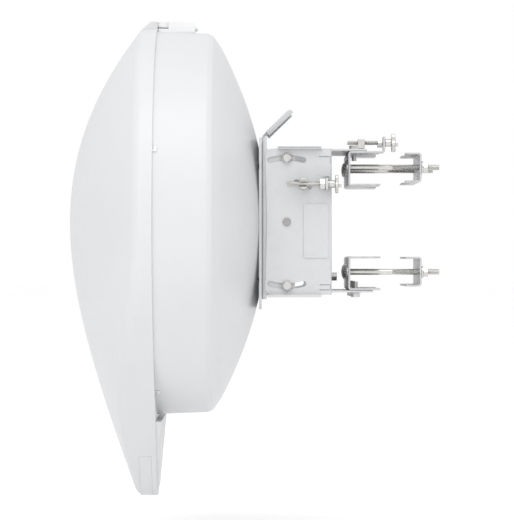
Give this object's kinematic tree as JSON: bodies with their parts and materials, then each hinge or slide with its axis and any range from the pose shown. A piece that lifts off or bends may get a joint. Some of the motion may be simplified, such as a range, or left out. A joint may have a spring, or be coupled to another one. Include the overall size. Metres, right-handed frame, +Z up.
{
  "type": "dish antenna radio",
  "caption": "Point-to-point microwave dish radio with a teardrop radome, drum-shaped rear shell, tilting and swivelling steel bracket, fine adjustment screws and pole clamps.",
  "frame": {"origin": "on the pole's axis, at the height of the dish's axis", "axes": "+X from the dish past the pole, so the dish looks along -X; +Y across; +Z up along the pole"},
  "size_m": [0.3836, 0.4052, 0.4965],
  "materials": {
    "white_plastic": "satin white moulded plastic",
    "latch_plastic": "satin white moulded plastic",
    "bracket_paint": "light grey powder coat",
    "galvanised_steel": "smooth galvanised steel",
    "stainless_steel": "plain stainless steel",
    "aluminium": "satin",
    "seal_rubber": "matt",
    "circuit_board": "green solder mask"
  },
  "bodies": {
    "pole_clamps": {"upper_front_clamp": "galvanised_steel", "lower_front_clamp": "galvanised_steel", "carriage_bolt_1": "stainless_steel", "carriage_bolt_2": "stainless_steel", "carriage_bolt_3": "stainless_steel", "carriage_bolt_4": "stainless_steel", "azimuth_pivot_upper": "stainless_steel", "azimuth_pivot_lower": "stainless_steel", "azimuth_lock_bolt_1": "stainless_steel", "azimuth_lock_bolt_2": "stainless_steel"},
    "azimuth_bracket": {"azimuth_bracket": "bracket_paint", "cheek_near": "bracket_paint", "cheek_far": "bracket_paint", "tilt_pin": "stainless_steel", "web_bolt": "stainless_steel"},
    "dish": {"radome": "white_plastic", "radome_gasket": "seal_rubber", "rear_shell": "white_plastic", "reflector": "aluminium", "feed_tube": "aluminium", "sub_reflector": "white_plastic", "radio_housing": "aluminium", "main_board": "circuit_board", "chin_plate": "white_plastic", "chin_cover": "white_plastic", "ethernet_port": "aluminium", "fibre_port": "aluminium", "rim_clip_1": "latch_plastic", "rim_clip_2": "latch_plastic", "rim_clip_3": "latch_plastic", "rim_clip_4": "latch_plastic", "latch_housing": "white_plastic", "latch_pin": "stainless_steel", "rear_plate": "bracket_paint", "rear_plate_screw_1": "stainless_steel", "rear_plate_screw_2": "stainless_steel", "rear_plate_screw_3": "stainless_steel", "rear_plate_screw_4": "stainless_steel", "tilt_ear_near": "bracket_paint", "tilt_ear_far": "bracket_paint", "elevation_lock_bolt_1": "stainless_steel", "elevation_lock_bolt_2": "stainless_steel", "elevation_lock_bolt_3": "stainless_steel", "elevation_lock_bolt_4": "stainless_steel", "aiming_handle": "bracket_paint"},
    "latch": {"latch": "latch_plastic"},
    "port_cover": {"port_cover": "white_plastic"},
    "trunnion": {"trunnion": "stainless_steel"},
    "swivel_bush": {"swivel_bush": "stainless_steel"},
    "elevation_screw": {"elevation_screw": "stainless_steel", "elevation_knob": "stainless_steel"},
    "azimuth_post": {"azimuth_post": "stainless_steel"},
    "azimuth_screw": {"azimuth_screw": "stainless_steel", "azimuth_knob": "stainless_steel"},
    "upper_jaw": {"upper_rear_jaw": "galvanised_steel", "clamp_nut_1": "stainless_steel", "clamp_nut_2": "stainless_steel"},
    "lower_jaw": {"lower_rear_jaw": "galvanised_steel", "clamp_nut_3": "stainless_steel", "clamp_nut_4": "stainless_steel"}
  },
  "joints": [
    {"name": "azimuth", "type": "hinge", "parent": "pole_clamps", "child": "azimuth_bracket", "pos_m": [-0.0382, 0, 0], "axis": [0, 0, 1], "range_deg": [-7, 7]},
    {"name": "elevation", "type": "hinge", "parent": "azimuth_bracket", "child": "dish", "pos_m": [-0.1095, 0, 0], "axis": [0, 1, 0], "range_deg": [-10, 10]},
    {"name": "latch_hinge", "type": "hinge", "parent": "dish", "child": "latch", "pos_m": [-0.212, 0, 0.206], "axis": [0, 1, 0], "range_deg": [0, 75]},
    {"name": "port_cover_slide", "type": "slide", "parent": "dish", "child": "port_cover", "axis": [0, 0, -1], "range_m": [0, 0.04]},
    {"name": "trunnion_swivel", "type": "hinge", "parent": "dish", "child": "trunnion", "pos_m": [-0.0927, -0.092, 0.0389], "axis": [0, 1, 0], "range_deg": [-17.5, 17.5]},
    {"name": "swivel_bush_swing", "type": "hinge", "parent": "azimuth_bracket", "child": "swivel_bush", "pos_m": [-0.0689, -0.092, 0.0385], "axis": [0, 1, 0], "range_deg": [-7.5, 7.5]},
    {"name": "elevation_screw_spin", "type": "hinge", "parent": "swivel_bush", "child": "elevation_screw", "pos_m": [-0.06, -0.092, 0.0385], "axis": [1, 0, 0], "range_deg": [-2450, 2450]},
    {"name": "azimuth_post_swivel", "type": "hinge", "parent": "azimuth_bracket", "child": "azimuth_post", "pos_m": [-0.0331, -0.07, 0.0813], "axis": [0, 0, 1], "range_deg": [-7.5, 7.5]},
    {"name": "azimuth_screw_spin", "type": "hinge", "parent": "pole_clamps", "child": "azimuth_screw", "pos_m": [-0.002, -0.07, 0.0813], "axis": [1, 0, 0], "range_deg": [-3100, 3100]},
    {"name": "upper_jaw_slide", "type": "slide", "parent": "pole_clamps", "child": "upper_jaw", "axis": [1, 0, 0], "range_m": [-0.022, 0.008]},
    {"name": "lower_jaw_slide", "type": "slide", "parent": "pole_clamps", "child": "lower_jaw", "axis": [1, 0, 0], "range_m": [-0.022, 0.008]}
  ],
  "couplings": [
    {"joint": "trunnion_swivel", "follows": "elevation", "ratio": -1.69},
    {"joint": "swivel_bush_swing", "follows": "elevation", "ratio": -0.69},
    {"joint": "elevation_screw_spin", "follows": "elevation", "ratio": -240.4},
    {"joint": "azimuth_post_swivel", "follows": "azimuth", "ratio": -1},
    {"joint": "azimuth_screw_spin", "follows": "azimuth", "ratio": -439.8}
  ]
}
